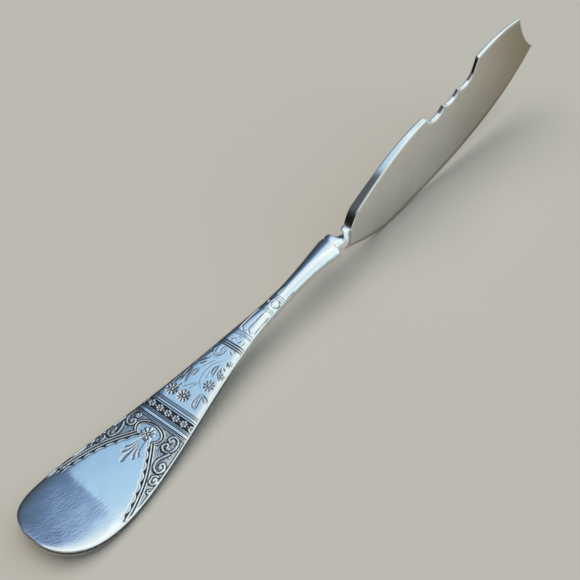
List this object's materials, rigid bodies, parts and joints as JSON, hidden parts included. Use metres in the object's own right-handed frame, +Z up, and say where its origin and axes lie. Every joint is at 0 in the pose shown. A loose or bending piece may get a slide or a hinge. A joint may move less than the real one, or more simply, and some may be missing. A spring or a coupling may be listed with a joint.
{
  "type": "butter knife",
  "caption": "Twist butter knife with a broad patterned handle, a neck turned a quarter turn, and a scalloped blade that stands on its edge to cut and lift butter.",
  "frame": {"origin": "on the table under the middle of the knife's length, midway across the handle's width", "axes": "+X along the knife from the handle's tip to the blade's point, +Y across the handle, +Z up from the table that the knife rests on"},
  "size_m": [0.185, 0.0196, 0.0321],
  "materials": {
    "handle_silver": "polished silver plate with fine wear scratches, dark tarnish in the hollows of the relief pattern",
    "blade_silver": "mirror polished silver plate with fine wear scratches",
    "solder": "dull silver solder, hidden inside the joints"
  },
  "bodies": {
    "root": {"handle": "handle_silver", "twisted_neck": "blade_silver", "blade": "blade_silver", "handle_solder": "solder", "blade_solder": "solder"}
  },
  "joints": []
}
